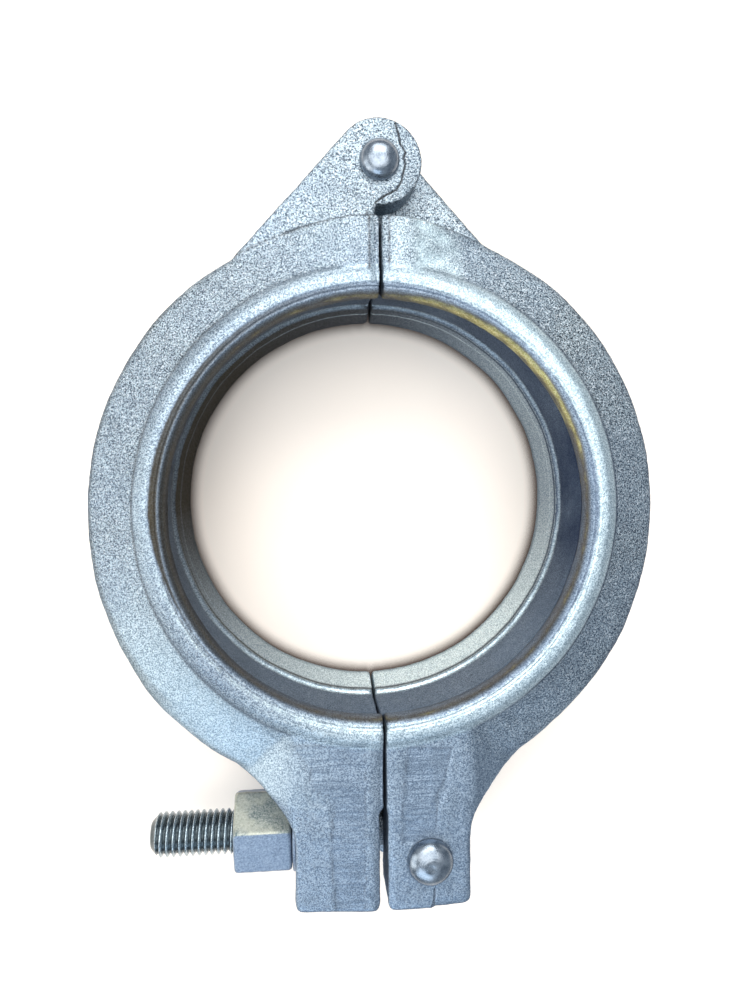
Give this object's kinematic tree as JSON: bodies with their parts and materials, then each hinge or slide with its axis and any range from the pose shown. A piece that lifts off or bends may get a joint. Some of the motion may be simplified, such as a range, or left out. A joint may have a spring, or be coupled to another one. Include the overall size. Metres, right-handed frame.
{
  "type": "hinged pipe coupling clamp",
  "caption": "Forged two-half hinged pipe clamp: halves pivot on a riveted pin and close with a swing bolt, washer and hexagon nut.",
  "frame": {"origin": "centre of the ring, on the pipe's axis and midway between the two lips", "axes": "+Z along the pipe's axis, towards the domed rivet heads; +Y towards the hinge; +X towards the half that opens"},
  "size_m": [0.1936, 0.2679, 0.0636],
  "materials": {
    "forged_half": "zinc-plated forged and blasted steel, fine bright grain",
    "rivet": "zinc-plated rivet, smooth satin dome",
    "bolt": "bright zinc plating on a rolled thread",
    "nut": "zinc plating, lightly blasted flats"
  },
  "bodies": {
    "left_half": {"left_half": "forged_half", "hinge_pin": "rivet"},
    "right_half": {"right_half": "forged_half", "bolt_pin": "rivet"},
    "swing_bolt": {"swing_bolt": "bolt"},
    "washer": {"washer": "nut"},
    "nut": {"nut": "nut"}
  },
  "joints": [
    {"name": "clamp_open", "type": "hinge", "parent": "left_half", "child": "right_half", "pos_m": [0.001, 0.1156, 0], "axis": [0, 0, 1], "range_deg": [0, 7.34]},
    {"name": "bolt_swing", "type": "hinge", "parent": "right_half", "child": "swing_bolt", "pos_m": [0.0158, -0.1206, 0], "axis": [0, 0, 1], "range_deg": [0, 170]},
    {"name": "washer_slide", "type": "slide", "parent": "swing_bolt", "child": "washer", "axis": [-1, 0, 0], "range_m": [0, 0.0311]},
    {"name": "nut_spin", "type": "hinge", "parent": "washer", "child": "nut", "pos_m": [-0.042, -0.1206, 0], "axis": [-1, 0, 0], "range_deg": [0, 4833.1]}
  ],
  "couplings": [
    {"joint": "washer_slide", "follows": "clamp_open", "m_per_rad": 0.242},
    {"joint": "nut_spin", "follows": "clamp_open", "ratio": 658.5}
  ]
}
